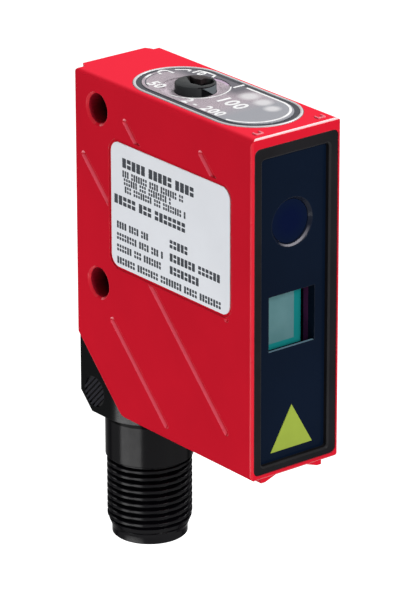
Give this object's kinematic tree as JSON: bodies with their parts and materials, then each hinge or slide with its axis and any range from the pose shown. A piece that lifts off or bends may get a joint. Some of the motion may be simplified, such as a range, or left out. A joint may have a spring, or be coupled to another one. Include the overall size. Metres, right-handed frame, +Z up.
{
  "type": "optical distance sensor",
  "caption": "Flat die-cast optical distance sensor with front window, selector dial on top, cross holes for bolts and a swivelling plug connector on a 45 degree corner cut.",
  "frame": {"origin": "midway between the two cross holes, on the middle plane of the housing", "axes": "+X across the housing, away from the labelled side and along the cross holes; -Y out of the window; +Z up to the dial"},
  "size_m": [0.015, 0.0389, 0.069],
  "materials": {
    "red_paint": "smooth semi-gloss",
    "label_film": "satin film",
    "frame_plastic": "fine matte",
    "window_plastic": "semi-gloss",
    "seal_rubber": "matte",
    "laser_glass": "clear, dark blue",
    "filter_glass": "clear, blue-green",
    "mark_print": "matte print",
    "cover_plastic": "semi-gloss",
    "light_plastic": "satin",
    "dial_print": "speckled satin film",
    "knob_plastic": "satin",
    "dark_plastic": "matte",
    "circuit_board": "solder mask",
    "lamp_plastic": "clear",
    "clear_plastic": "clear",
    "plated_steel": "zinc plated",
    "brass": "turned",
    "clear_glass": "polished",
    "gold_plate": "gold plated",
    "connector_plastic": "fine matte",
    "insert_plastic": "matte"
  },
  "bodies": {
    "sensor": {"housing": "red_paint", "side_label": "label_film", "front_frame": "frame_plastic", "window_plate": "window_plastic", "window_seal": "seal_rubber", "laser_window": "laser_glass", "receiver_filter": "filter_glass", "front_mark": "mark_print", "dial_cover": "cover_plastic", "dial_seal": "light_plastic", "dial_film": "dial_print", "rotary_switch": "dark_plastic", "dial_board": "circuit_board", "status_leds": "lamp_plastic", "light_guides": "clear_plastic", "main_board": "circuit_board", "main_chips": "dark_plastic", "optics_carrier": "dark_plastic", "carrier_screws": "plated_steel", "laser_barrel": "brass", "collimator_lens": "clear_glass", "laser_diode": "gold_plate", "receiver_lens": "clear_glass", "detector_board": "circuit_board", "detector_chip": "dark_plastic"},
    "selector": {"rotary_knob": "knob_plastic", "knob_seal": "seal_rubber"},
    "connector": {"swivel_block": "connector_plastic", "threaded_stud": "connector_plastic", "swivel_seal": "seal_rubber", "swivel_clip": "plated_steel", "contact_insert": "insert_plastic", "contact_pins": "gold_plate"}
  },
  "joints": [
    {"name": "selector_turn", "type": "hinge", "parent": "sensor", "child": "selector", "pos_m": [0, -0.0119, 0], "axis": [0, 0, 1], "continuous": true},
    {"name": "connector_swivel", "type": "hinge", "parent": "sensor", "child": "connector", "pos_m": [0, -0.0014, -0.02611], "axis": [0, 0.7071, -0.7071], "range_deg": [0, 180]}
  ]
}
